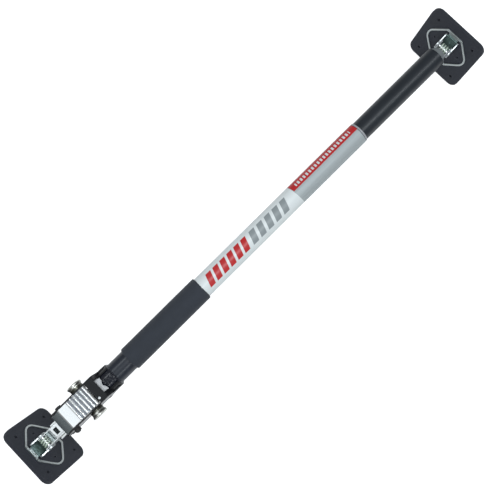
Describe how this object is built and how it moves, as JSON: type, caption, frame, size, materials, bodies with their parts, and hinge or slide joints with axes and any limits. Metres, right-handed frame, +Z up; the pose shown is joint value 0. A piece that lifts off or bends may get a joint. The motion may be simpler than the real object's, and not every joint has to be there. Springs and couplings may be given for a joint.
{
  "type": "telescopic drywall support pole",
  "caption": "Telescopic support pole with a ribbed thumb lever jack, twist-locked inner tube, foam grip, and square rubber pads that tilt at both ends.",
  "frame": {"origin": "bottom centre of the bounding box, on the surface that the pads lie on", "axes": "+X along the pole from the jack end to the plain end, +Z up towards the thumb lever's side"},
  "size_m": [1.029, 0.113, 0.1138],
  "materials": {
    "black_powder_coat": "satin black powder coat",
    "black_satin_coat": "smooth satin black paint",
    "black_gloss_coat": "semi-gloss black coat over pressed sheet",
    "blue_black_foam": "matte closed-cell foam",
    "label_film": "printed plastic film, white and silver with a red band",
    "bright_zinc": "bright zinc plate",
    "dull_zinc": "dull zinc plate",
    "olive_zinc": "greenish passivated zinc on spring wire",
    "nickel_knob": "olive grey nickel plate",
    "black_fastener": "black oxide",
    "turned_steel": "turned and zinc plated steel",
    "hardened_steel": "heat treated steel",
    "spring_steel": "drawn spring wire",
    "grey_nylon": "moulded nylon",
    "natural_nylon": "natural nylon",
    "black_rubber": "matte moulded rubber"
  },
  "bodies": {
    "pole": {"outer_tube": "black_powder_coat", "mouth_ring": "grey_nylon", "grip_sleeve": "blue_black_foam", "label_wrap": "label_film", "jack_body": "black_gloss_coat", "weld_beads": "black_gloss_coat", "guide_channel": "bright_zinc", "guide_liners": "natural_nylon", "guide_strap": "bright_zinc", "body_rivets": "black_fastener", "stop_rivet": "black_fastener", "anchor_rivet": "bright_zinc", "lever_bolt": "black_fastener", "lever_nut": "black_fastener", "lever_spacer": "turned_steel", "lever_spring": "spring_steel", "release_spring": "spring_steel"},
    "lever": {"pump_lever": "bright_zinc", "drive_pawl_pin": "turned_steel"},
    "drive_pawl": {"drive_pawl": "hardened_steel", "drive_pawl_spring": "spring_steel"},
    "release": {"release_shaft": "turned_steel", "release_knobs": "nickel_knob", "holding_pawl": "hardened_steel"},
    "rack": {"rack_tube": "bright_zinc", "jack_pin": "turned_steel", "jack_pin_spring": "olive_zinc"},
    "jack_foot": {"jack_bracket": "bright_zinc", "jack_bracket_rivets": "turned_steel", "jack_plate": "dull_zinc", "jack_pad": "black_rubber"},
    "lock_sleeve": {"lock_sleeve": "natural_nylon"},
    "inner_pole": {"inner_tube": "black_satin_coat", "lock_plug": "natural_nylon", "lock_screw": "turned_steel", "top_fitting": "dull_zinc", "top_pin": "turned_steel", "top_pin_spring": "olive_zinc"},
    "top_foot": {"top_bracket": "bright_zinc", "top_bracket_rivets": "turned_steel", "top_plate": "dull_zinc", "top_pad": "black_rubber"}
  },
  "joints": [
    {"name": "tube_slide", "type": "slide", "parent": "pole", "child": "lock_sleeve", "axis": [1, 0, 0], "range_m": [-0.015, 0.36]},
    {"name": "tube_twist", "type": "hinge", "parent": "lock_sleeve", "child": "inner_pole", "pos_m": [0, 0, 0.07161], "axis": [1, 0, 0], "range_deg": [0, 18]},
    {"name": "top_pad_tilt", "type": "hinge", "parent": "inner_pole", "child": "top_foot", "pos_m": [0.4771, 0, 0.07161], "axis": [0, -1, 0], "range_deg": [0, 38], "stiffness_Nm_per_rad": 0.15, "springref_deg": -34.38},
    {"name": "rack_slide", "type": "slide", "parent": "pole", "child": "rack", "axis": [-1, 0, 0], "range_m": [0, 0.11]},
    {"name": "jack_pad_tilt", "type": "hinge", "parent": "rack", "child": "jack_foot", "pos_m": [-0.4745, 0, 0.07161], "axis": [0, 1, 0], "range_deg": [0, 49], "stiffness_Nm_per_rad": 0.15, "springref_deg": -34.38},
    {"name": "lever_press", "type": "hinge", "parent": "pole", "child": "lever", "pos_m": [-0.4168, 0, 0.09161], "axis": [0, 1, 0], "range_deg": [0, 15.5], "stiffness_Nm_per_rad": 0.3, "springref_deg": -34.38},
    {"name": "drive_pawl_swing", "type": "hinge", "parent": "lever", "child": "drive_pawl", "pos_m": [-0.41127, 0, 0.05098], "axis": [0, 1, 0], "range_deg": [-15.5, 0]},
    {"name": "release_turn", "type": "hinge", "parent": "pole", "child": "release", "pos_m": [-0.3735, 0, 0.09111], "axis": [0, 1, 0], "range_deg": [0, 20], "stiffness_Nm_per_rad": 0.1, "springref_deg": -34.38}
  ],
  "couplings": [
    {"joint": "drive_pawl_swing", "follows": "lever_press", "ratio": -1}
  ]
}
